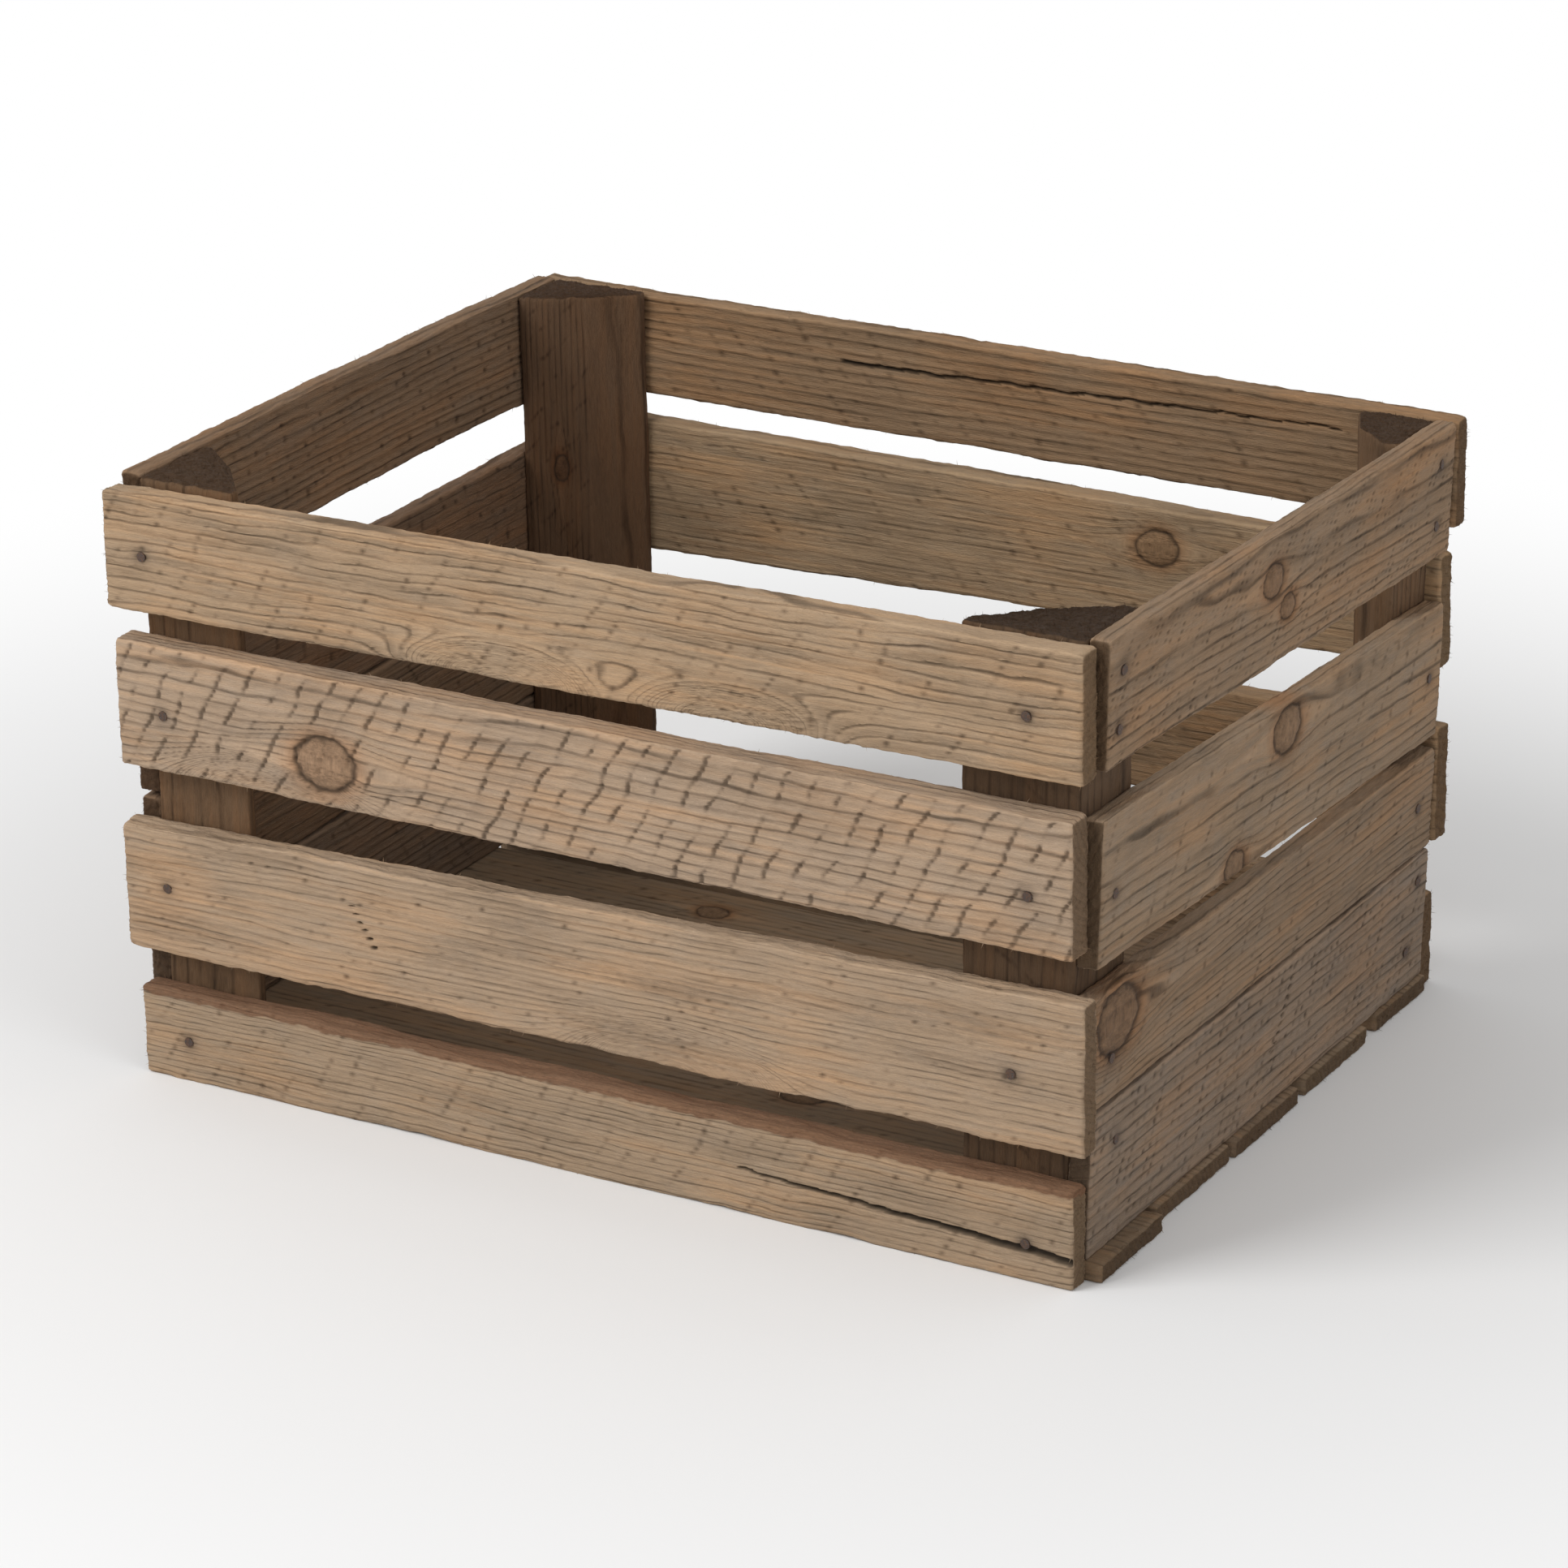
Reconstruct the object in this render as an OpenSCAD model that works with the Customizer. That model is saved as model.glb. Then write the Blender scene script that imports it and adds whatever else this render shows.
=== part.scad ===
// Slatted fruit crate: sixteen wall slats nailed to four corner posts, over a floor of five boards.
// Millimetres. The origin is on the ground under the middle of the crate, +X runs along the
// front, -Y is the front and +Z is up. Every slat was sawn by eye, so each end has its own height.

/* [Crate] */
// Outer length along X, over the ends of the longest slats
crate_length = 510; // [450:1:600]
// Outer depth along Y, over the thickest front and back slats
crate_depth = 384; // [350:1:460]
// Height of the highest corner of the rim
crate_height = 296; // [280:1:330]

/* [Long slats of the front and back, top row first] */
// Thickness of the front slats
front_slat_thick = [13.5, 14.5, 12, 12]; // [9:0.5:18]
// Thickness of the back slats
back_slat_thick = [11, 13, 13, 13]; // [9:0.5:18]
// How far the front slats stop short of the crate's left end
front_cuts_left = [1, 4, 0, 5.5]; // [0:0.5:14]
// How far the front slats stop short of the crate's right end
front_cuts_right = [6, 10, 5.5, 10.5]; // [0:0.5:14]
// How far the back slats stop short of the crate's left end
back_cuts_left = [2.5, 4, 1, 3.5]; // [0:0.5:14]
// How far the back slats stop short of the crate's right end
back_cuts_right = [0, 6.5, 6, 12]; // [0:0.5:14]

/* [Short slats of the sides] */
// Thickness of the left and right slats
side_slat_thick = 11; // [8:0.5:14]
// How far the left wall lies inside the crate's left end
left_inset = 3; // [0:0.5:8]
// How far the right wall, which leans out, lies inside the crate's right end on the ground
right_foot_inset = 12; // [2:0.5:14]
// The same at the height of the rim
right_rim_inset = 1; // [0:0.5:8]

/* [Front wall, from the rim down] */
// Drop of the front rim below the crate height, left end and right end
front_rim_drop = [7, 3]; // [0:0.5:10]
// Heights of the upper three slats at the left end
front_heights_left = [56.5, 61.5, 62]; // [40:0.5:75]
// Heights of the upper three slats at the right end
front_heights_right = [59, 63, 71.5]; // [40:0.5:78]
// Gaps under the upper three slats at the left end
front_gaps_left = [14.5, 30.5, 19]; // [1:0.5:34]
// Gaps under the upper three slats at the right end
front_gaps_right = [16, 20, 16]; // [1:0.5:34]

/* [Back wall, from the rim down] */
// Drop of the back rim below the crate height, left end and right end
back_rim_drop = [2, 6]; // [0:0.5:10]
// Heights of the upper three slats at the left end
back_heights_left = [52, 71, 58]; // [40:0.5:78]
// Heights of the upper three slats at the right end
back_heights_right = [53, 56, 58]; // [40:0.5:75]
// Gaps under the upper three slats at the left end
back_gaps_left = [14, 21, 28]; // [1:0.5:34]
// Gaps under the upper three slats at the right end
back_gaps_right = [15, 30, 30]; // [1:0.5:36]

/* [Left wall, from the rim down] */
// Drop of the left rim below the crate height, front end and back end
left_rim_drop = [2, 0]; // [0:0.5:10]
// Heights of the upper three slats at the front end
left_heights_front = [61, 71, 64.5]; // [40:0.5:78]
// Heights of the upper three slats at the back end
left_heights_back = [58, 66, 62]; // [40:0.5:75]
// Gaps under the upper three slats at the front end
left_gaps_front = [24, 2.5, 1.5]; // [1:0.5:34]
// Gaps under the upper three slats at the back end
left_gaps_back = [25, 1.5, 1.5]; // [1:0.5:34]

/* [Right wall, from the rim down] */
// Drop of the right rim below the crate height, front end and back end
right_rim_drop = [1, 6]; // [0:0.5:10]
// Heights of the upper three slats at the front end
right_heights_front = [58.5, 68.5, 53]; // [40:0.5:75]
// Heights of the upper three slats at the back end
right_heights_back = [63.5, 67, 50.5]; // [40:0.5:75]
// Gaps under the upper three slats at the front end
right_gaps_front = [22, 13.5, 2.5]; // [1:0.5:34]
// Gaps under the upper three slats at the back end
right_gaps_back = [25.5, 6.5, 1.5]; // [1:0.5:34]

/* [Corner posts: front left, front right, back left, back right] */
// Width of each post along X, at its foot
post_legs_x = [52, 49, 52, 27]; // [22:1:70]
// Width of each post along Y
post_legs_y = [52, 48, 37, 42]; // [30:1:70]
// Width of the blunt tip at either end of a post's inner face
post_tip = 8; // [4:0.5:12]

/* [Floor] */
// Thickness of the floor boards
board_thick = 9; // [6:0.5:14]
// Widths of the floor boards but the last, from the front; the last fills what is left
board_widths = [59, 74, 67, 69]; // [45:1:80]
// Gaps behind those boards, from the front
board_gaps = [4, 4, 9, 13]; // [1:0.5:16]
// Play between the outer boards and the long slats
board_play = 0.5; // [0:0.5:3]
// How far the boards stop short of the crate's left end, from the front
board_cuts_left = [2, 4, 3, 4.5, 2.5]; // [0:0.5:12]
// How far the boards stop short of the crate's right end, from the front
board_cuts_right = [3, 8, 7, 8, 9]; // [0:0.5:12]

/* [Nails] */
// Length of a nail, head included
nail_length = 30; // [24:1:32]
// Diameter of a nail's shank
nail_shank_d = 2.2; // [1.6:0.1:3]
// Diameter of a nail's head
nail_head_d = 4.6; // [3.6:0.1:6]
// Thickness of a nail's head
nail_head_thick = 1; // [0.6:0.1:1.6]
// Length of a nail's point
nail_point = 3; // [2:0.5:5]
// Distance of the front nails from the left and the right ends of their slats, row by row
front_nail_insets = [[[22], [26.5], [25], [26.5]], [[27.5], [22.5], [36.5], [24.5]]];
// Distance of the back nails from the ends of their slats
back_nail_insets = [[[24], [26], [23], [27]], [[25], [22], [26], [20]]];
// Distance of the left nails from the front and the back ends of their slats
left_nail_insets = [[[16, 13], [14], [17], [15]], [[14, 17], [15], [18], [16]]];
// Distance of the right nails from the front and the back ends of their slats
right_nail_insets = [[[14, 12], [14.5], [17.5], [25]], [[16, 18], [14.5], [18], [12.5, 22]]];
// How far the nails of each row sit above the middle of their slat, at one end and at the other
front_nail_lifts = [[[-1], [-3], [1.5], [-2.5]], [[-2], [-5.5], [-2.5], [-6]]];
back_nail_lifts = [[[1], [2], [-2], [0]], [[-1], [3], [1], [-2]]];
left_nail_lifts = [[[13, -13], [0], [2], [4]], [[14, -12], [-2], [0], [5]]];
right_nail_lifts = [[[13, -13], [-2.5], [-6.5], [15]], [[15, -15], [-1.5], [-1], [19.5, -14]]];
// Distance of the floor nails from the long edges of their board
board_nail_inset = 14; // [10:1:18]

/* [Hidden] */
$fn = 32;

rows = [0, 1, 2, 3];
half_length = crate_length / 2;
half_depth = crate_depth / 2;
// The posts, side slats and floor boards fit between the inner faces of the long slats
front_seat = -half_depth + max(front_slat_thick);
back_seat = half_depth - max(back_slat_thick);
left_outer_x = -half_length + left_inset;
right_lean = (right_foot_inset - right_rim_inset) / crate_height;
lean_room = max(1, right_foot_inset - right_rim_inset);
right_foot_x = half_length - right_foot_inset;

// Each wall: foot, rim at both ends, heights and gaps at both ends, nail insets and lifts
front_wall = [0, front_rim_drop, front_heights_left, front_heights_right,
    front_gaps_left, front_gaps_right, front_nail_insets, front_nail_lifts];
back_wall = [0, back_rim_drop, back_heights_left, back_heights_right,
    back_gaps_left, back_gaps_right, back_nail_insets, back_nail_lifts];
left_wall = [board_thick, left_rim_drop, left_heights_front, left_heights_back,
    left_gaps_front, left_gaps_back, left_nail_insets, left_nail_lifts];
right_wall = [board_thick, right_rim_drop, right_heights_front, right_heights_back,
    right_gaps_front, right_gaps_back, right_nail_insets, right_nail_lifts];

function sum_of(list, count) = count == 0 ? 0 : list[count - 1] + sum_of(list, count - 1);

// Upper and lower edge of a slat at one end of its wall (0 or 1); the lowest slat ends on the foot
function slat_top(wall, row, end) = crate_height - wall[1][end]
    - sum_of(wall[2 + end], row) - sum_of(wall[4 + end], row);
function slat_foot(wall, row, end) = row == 3 ? wall[0] : slat_top(wall, row, end) - wall[2 + end][row];

// The same edges anywhere along the wall, where reach goes from 0 at one end to 1 at the other
function blend(a, b, reach) = a + (b - a) * reach;
function slat_middle(wall, row, reach) = blend(
    slat_top(wall, row, 0) + slat_foot(wall, row, 0),
    slat_top(wall, row, 1) + slat_foot(wall, row, 1), reach) / 2;

// Ends and thickness of a long slat on the front (side -1) or the back (side 1)
function long_ends(row, side) = side < 0
    ? [-half_length + front_cuts_left[row], half_length - front_cuts_right[row]]
    : [-half_length + back_cuts_left[row], half_length - back_cuts_right[row]];
function long_thick(row, side) = side < 0 ? front_slat_thick[row] : back_slat_thick[row];
function long_seat(side) = side < 0 ? front_seat : back_seat;
function long_reach(x) = (x + half_length) / crate_length;

// Reach along a side wall, and its outer face at a height: the right wall leans out
function side_reach(y) = (y - front_seat) / (back_seat - front_seat);
function side_outer_x(side, z) = side < 0 ? left_outer_x : right_foot_x + right_lean * z;

// Floor boards: front edge, width and ends of each
function board_front(i) = front_seat + board_play + sum_of(board_widths, i) + sum_of(board_gaps, i);
function board_width(i) = i < 4 ? board_widths[i] : back_seat - board_play - board_front(4);
function board_ends(i) = [-half_length + board_cuts_left[i], half_length - board_cuts_right[i]];

// Nail places in one wall, as [along the wall, height]
function long_nails(wall, row, side) = [for (end = [0, 1])
    for (i = [0:len(wall[6][end][row]) - 1])
        let (x = long_ends(row, side)[end] + (1 - 2 * end) * wall[6][end][row][i])
            [x, slat_middle(wall, row, long_reach(x)) + wall[7][end][row][i]]];
function side_nails(wall, row) = [for (end = [0, 1])
    for (i = [0:len(wall[6][end][row]) - 1])
        let (y = end == 0 ? front_seat + wall[6][0][row][i] : back_seat - wall[6][1][row][i])
            [y, slat_middle(wall, row, side_reach(y)) + wall[7][end][row][i]]];

// A nail with its head's top on the origin, pointing down
module nail() {
    translate([0, 0, -nail_head_thick])
        cylinder(d = nail_head_d, h = nail_head_thick);
    translate([0, 0, nail_point - nail_length])
        cylinder(d = nail_shank_d, h = nail_length - nail_point - nail_head_thick);
    translate([0, 0, -nail_length])
        cylinder(d1 = nail_shank_d / 4, d2 = nail_shank_d, h = nail_point);
}

// Nails of one row of the front or back wall, driven in from the slat's own face
module long_wall_nails(wall, row, side) {
    for (place = long_nails(wall, row, side))
        translate([place[0], long_seat(side) + side * long_thick(row, side), place[1]])
            rotate([side * -90, 0, 0])
                nail();
}

// Nails of one row of a side wall, driven in from its outer face
module side_wall_nails(wall, row, side) {
    for (place = side_nails(wall, row))
        translate([side_outer_x(side, place[1]), place[0], place[1]])
            rotate([0, side * 90, 0])
                nail();
}

// Nails of one floor board, driven up into the lowest side slats
module board_nails(i) {
    for (side = [-1, 1])
        for (y = [board_front(i) + board_nail_inset,
                board_front(i) + board_width(i) - board_nail_inset])
            translate([side_outer_x(side, board_thick) - side * side_slat_thick / 2, y, 0])
                rotate([180, 0, 0])
                    nail();
}

// Tilts what stands upright on the ground at the right into the lean of the right wall
module leaning(side) {
    multmatrix([[1, 0, side > 0 ? right_lean : 0, 0], [0, 1, 0, 0], [0, 0, 1, 0]])
        children();
}

// A slat's face between two ends, with its own height at each
module slat_face(wall, row, ends, reaches) {
    top = [for (r = reaches) blend(slat_top(wall, row, 0), slat_top(wall, row, 1), r)];
    foot = [for (r = reaches) blend(slat_foot(wall, row, 0), slat_foot(wall, row, 1), r)];
    polygon([[ends[0], foot[0]], [ends[1], foot[1]], [ends[1], top[1]], [ends[0], top[0]]]);
}

module long_slat(wall, row, side) {
    ends = long_ends(row, side);
    thick = long_thick(row, side);
    difference() {
        translate([0, long_seat(side) + max(0, side) * thick, 0])
            rotate([90, 0, 0])
                linear_extrude(thick)
                    slat_face(wall, row, ends, [long_reach(ends[0]), long_reach(ends[1])]);
        long_wall_nails(wall, row, side);
    }
}

module side_slat(wall, row, side) {
    difference() {
        leaning(side)
            translate([side_outer_x(side, 0) - max(0, side) * side_slat_thick, 0, 0])
                rotate([90, 0, 90])
                    linear_extrude(side_slat_thick)
                        slat_face(wall, row, [front_seat, back_seat], [0, 1]);
        side_wall_nails(wall, row, side);
        if (row == 3)
            for (i = [0:4])
                board_nails(i);
    }
}

// A post stands upright on the floor boards in the corner at (side_x, side_y), up to the higher
// rim there, and is sawn off along the inner face of its side wall
module corner_post(index, side_x, side_y, long_wall, side_wall) {
    leg_x = post_legs_x[index];
    leg_y = post_legs_y[index];
    long_rim = slat_top(long_wall, 0, side_x > 0 ? 1 : 0);
    side_rim = slat_top(side_wall, 0, side_y > 0 ? 1 : 0);
    wall_x = side_outer_x(side_x, 0) - side_x * side_slat_thick;
    foot_x = side_outer_x(side_x, board_thick) - side_x * side_slat_thick;
    difference() {
        intersection() {
            translate([foot_x, long_seat(side_y), board_thick])
                linear_extrude(max(long_rim, side_rim) - board_thick)
                    polygon([[side_x * lean_room, 0], [-side_x * leg_x, 0],
                        [-side_x * leg_x, -side_y * post_tip], [-side_x * post_tip, -side_y * leg_y],
                        [side_x * lean_room, -side_y * leg_y]]);
            leaning(side_x)
                translate([wall_x - max(0, side_x) * half_length, -half_depth, 0])
                    cube([half_length, crate_depth, crate_height]);
        }
        for (row = rows) {
            long_wall_nails(long_wall, row, side_y);
            side_wall_nails(side_wall, row, side_x);
        }
    }
}

module floor_board(i) {
    ends = board_ends(i);
    color([0.46, 0.40, 0.33]) difference() {
        translate([ends[0], board_front(i), 0])
            cube([ends[1] - ends[0], board_width(i), board_thick]);
        board_nails(i);
    }
}

module front_slat(row) {
    color([0.72, 0.60, 0.45]) long_slat(front_wall, row, -1);
}

module back_slat(row) {
    color([0.60, 0.49, 0.36]) long_slat(back_wall, row, 1);
}

module left_slat(row) {
    color([0.52, 0.41, 0.30]) side_slat(left_wall, row, -1);
}

module right_slat(row) {
    color([0.63, 0.54, 0.43]) side_slat(right_wall, row, 1);
}

module post_front_left() {
    color([0.45, 0.34, 0.24]) corner_post(0, -1, -1, front_wall, left_wall);
}

module post_front_right() {
    color([0.45, 0.34, 0.24]) corner_post(1, 1, -1, front_wall, right_wall);
}

module post_back_left() {
    color([0.48, 0.37, 0.26]) corner_post(2, -1, 1, back_wall, left_wall);
}

module post_back_right() {
    color([0.48, 0.37, 0.26]) corner_post(3, 1, 1, back_wall, right_wall);
}

module front_nails() {
    color([0.30, 0.25, 0.23]) for (row = rows) long_wall_nails(front_wall, row, -1);
}

module back_nails() {
    color([0.30, 0.25, 0.23]) for (row = rows) long_wall_nails(back_wall, row, 1);
}

module left_nails() {
    color([0.30, 0.25, 0.23]) for (row = rows) side_wall_nails(left_wall, row, -1);
}

module right_nails() {
    color([0.30, 0.25, 0.23]) for (row = rows) side_wall_nails(right_wall, row, 1);
}

module bottom_nails() {
    color([0.30, 0.25, 0.23]) for (i = [0:4]) board_nails(i);
}

front_slat(0);  // front_slat_1
front_slat(1);  // front_slat_2
front_slat(2);  // front_slat_3
front_slat(3);  // front_slat_4
back_slat(0);  // back_slat_1
back_slat(1);  // back_slat_2
back_slat(2);  // back_slat_3
back_slat(3);  // back_slat_4
left_slat(0);  // left_slat_1
left_slat(1);  // left_slat_2
left_slat(2);  // left_slat_3
left_slat(3);  // left_slat_4
right_slat(0);  // right_slat_1
right_slat(1);  // right_slat_2
right_slat(2);  // right_slat_3
right_slat(3);  // right_slat_4
post_front_left();
post_front_right();
post_back_left();
post_back_right();
floor_board(0);  // bottom_board_1
floor_board(1);  // bottom_board_2
floor_board(2);  // bottom_board_3
floor_board(3);  // bottom_board_4
floor_board(4);  // bottom_board_5
front_nails();
back_nails();
left_nails();
right_nails();
bottom_nails();
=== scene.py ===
import math

import bpy
from mathutils import Matrix, Vector


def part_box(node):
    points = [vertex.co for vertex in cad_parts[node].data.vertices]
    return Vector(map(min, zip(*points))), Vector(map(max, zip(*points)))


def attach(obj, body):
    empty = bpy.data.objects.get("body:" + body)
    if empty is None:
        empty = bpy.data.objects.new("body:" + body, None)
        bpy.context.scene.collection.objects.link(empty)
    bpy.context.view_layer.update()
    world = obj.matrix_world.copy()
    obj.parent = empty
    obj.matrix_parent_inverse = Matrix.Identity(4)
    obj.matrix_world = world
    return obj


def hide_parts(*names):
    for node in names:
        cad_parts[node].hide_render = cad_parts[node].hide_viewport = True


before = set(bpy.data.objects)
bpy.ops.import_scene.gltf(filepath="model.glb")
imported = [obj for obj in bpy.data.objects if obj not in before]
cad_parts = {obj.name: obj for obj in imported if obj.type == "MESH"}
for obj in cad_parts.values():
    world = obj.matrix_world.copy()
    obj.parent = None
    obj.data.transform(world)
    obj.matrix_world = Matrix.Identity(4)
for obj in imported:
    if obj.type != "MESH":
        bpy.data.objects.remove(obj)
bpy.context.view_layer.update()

mm = 0.001
quarterTurn = math.pi / 2

# The picture is square, taken by a long lens from the front, a little to the right and above
camera = {
    "imageSize": 1932,
    "place": (1.1981, -2.0473, 1.0511),
    "azimuth": 30.5,
    "elevation": 21.32,
    "roll": -1.05,
    "focalPixels": 6660.4,
    "sensorWidth": 36.0,
}


class Wire:
    # one output of a node, so that a formula can be written with + - * /
    def __init__(self, sketch, socket):
        self.sketch = sketch
        self.socket = socket

    def __add__(self, other):
        return self.sketch.calc("ADD", self, other)

    def __radd__(self, other):
        return self.sketch.calc("ADD", other, self)

    def __sub__(self, other):
        return self.sketch.calc("SUBTRACT", self, other)

    def __rsub__(self, other):
        return self.sketch.calc("SUBTRACT", other, self)

    def __mul__(self, other):
        return self.sketch.calc("MULTIPLY", self, other)

    def __rmul__(self, other):
        return self.sketch.calc("MULTIPLY", other, self)

    def __truediv__(self, other):
        return self.sketch.calc("DIVIDE", self, other)

    def __rtruediv__(self, other):
        return self.sketch.calc("DIVIDE", other, self)

    def __neg__(self):
        return self.sketch.calc("MULTIPLY", self, -1.0)


class Sketch:
    # writes nodes into one tree; the same formulas serve geometry and shader trees
    def __init__(self, tree):
        self.tree = tree

    def node(self, kind, **settings):
        made = self.tree.nodes.new(kind)
        for name, value in settings.items():
            setattr(made, name, value)
        return made

    def plug(self, socket, value):
        if isinstance(value, Wire):
            self.tree.links.new(value.socket, socket)
        else:
            socket.default_value = value

    def wire(self, node, output=0):
        return Wire(self, node.outputs[output])

    def calc(self, operation, *values, clamp=False):
        made = self.tree.nodes.new("ShaderNodeMath")
        made.operation = operation
        made.use_clamp = clamp
        for socket, value in zip(made.inputs, values):
            self.plug(socket, value)
        return Wire(self, made.outputs[0])

    def least(self, a, b):
        return self.calc("MINIMUM", a, b)

    def most(self, a, b):
        return self.calc("MAXIMUM", a, b)

    def size(self, a):
        return self.calc("ABSOLUTE", a)

    def bell(self, a):
        # 1 at zero, falling off smoothly on both sides
        return self.calc("EXPONENT", -(a * a))

    def share(self, value):
        return self.calc("ADD", value, 0.0, clamp=True)

    def between(self, low, high, value):
        # 0 below low, 1 above high, smooth between
        made = self.node("ShaderNodeMapRange", interpolation_type="SMOOTHSTEP")
        self.plug(made.inputs["Value"], value)
        self.plug(made.inputs["From Min"], low)
        self.plug(made.inputs["From Max"], high)
        return Wire(self, made.outputs[0])

    def blend(self, a, b, reach):
        return a + (b - a) * reach

    def vector(self, x, y, z):
        made = self.tree.nodes.new("ShaderNodeCombineXYZ")
        for socket, value in zip(made.inputs, (x, y, z)):
            self.plug(socket, value)
        return Wire(self, made.outputs[0])

    def split(self, vector):
        made = self.tree.nodes.new("ShaderNodeSeparateXYZ")
        self.plug(made.inputs[0], vector)
        return [Wire(self, made.outputs[i]) for i in range(3)]

    def vectorCalc(self, operation, *values):
        made = self.tree.nodes.new("ShaderNodeVectorMath")
        made.operation = operation
        for socket, value in zip(made.inputs, values):
            self.plug(socket, value)
        return Wire(self, made.outputs[0])

    def scaled(self, vector, factor):
        made = self.node("ShaderNodeVectorMath", operation="SCALE")
        self.plug(made.inputs[0], vector)
        self.plug(made.inputs["Scale"], factor)
        return Wire(self, made.outputs[0])

    def noise(self, vector, detail=1.0, roughness=0.5):
        # runs from about -1 to 1
        made = self.node("ShaderNodeTexNoise", noise_dimensions="3D")
        self.plug(made.inputs["Vector"], vector)
        made.inputs["Scale"].default_value = 1.0
        made.inputs["Detail"].default_value = detail
        made.inputs["Roughness"].default_value = roughness
        return (Wire(self, made.outputs[0]) - 0.5) * 3.2

    def cells(self, vector):
        made = self.node("ShaderNodeTexVoronoi", voronoi_dimensions="3D", feature="F1")
        self.plug(made.inputs["Vector"], vector)
        made.inputs["Scale"].default_value = 1.0
        return Wire(self, made.outputs[0])


def addSocket(tree, name, kind, default=None, output=False):
    socket = tree.interface.new_socket(name, in_out="OUTPUT" if output else "INPUT", socket_type=kind)
    if default is not None:
        socket.default_value = default
    return socket


floatKind = "NodeSocketFloat"
vectorKind = "NodeSocketVector"

# What every board can be told. Lengths are in millimetres.
boardInputs = {
    "Length": 500.0, "Thickness": 12.0,
    "Foot Start": 0.0, "Foot End": 0.0, "Top Start": 60.0, "Top End": 60.0,
    "Top Bow": 0.0, "Foot Bow": 0.0, "Bulge": 0.0, "Lean": 0.0, "Wall Slope": 0.0,
    "Triangle": 0.0, "Tip": 8.0,
    "Corner": 1.8, "Edge Wander": 0.8, "Rim Wear": 1.0,
    "Ring Width": 4.3, "Pith Depth": 25.0, "Pith Height": -70.0, "Pith Slope": 0.0, "Ring Warp": 3.0,
    "Terrace": 0.5, "Terrace Break": 0.5,
    "Ridge": 0.12, "Ridge Spacing": 3.0,
    "Saw Depth": 0.0, "Saw Spacing": 14.0, "Saw Tilt": 0.6, "Saw Break": 0.5, "Saw Line": 0.16,
    "Fuzz": 0.22, "End Tear": 1.6, "Lumps": 0.4,
    "Bark": 0.0, "Crack Width": 0.0, "Seed": 0.0, "Hairs": 1.0,
}
boardVectors = {
    "Knot 1": (0.0, 0.0, 0.0), "Knot 2": (0.0, 0.0, 0.0), "Knot 3": (0.0, 0.0, 0.0),
    "Knot Lift": (0.5, 0.5, 0.5),
    "Whorl 1": (0.0, 0.0, 0.0), "Whorl 2": (0.0, 0.0, 0.0),
    "Nail 1": (-900.0, 0.0, 0.0), "Nail 2": (-900.0, 0.0, 0.0),
    "Nail 3": (-900.0, 0.0, 0.0), "Nail 4": (-900.0, 0.0, 0.0),
    "Crack From": (0.0, 0.0, 0.0), "Crack To": (0.0, 0.0, 0.0),
    "Tint": (0.3, 0.2, 0.12), "Turn": (0.0, 0.0, 0.0), "Place": (0.0, 0.0, 0.0),
}
boardCounts = {"Steps Along": 220, "Steps Up": 110, "Steps Deep": 22}


# Loose fibres, in metres: how many stand on a square metre of torn end or edge, and their shape
fibreLooks = {
    "onEnds": 160000.0, "onEdges": 30000.0,
    "rootRadius": 0.00014, "tipRadius": 0.00002, "length": 0.0024, "shortest": 0.35, "lean": 0.9,
}


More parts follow.
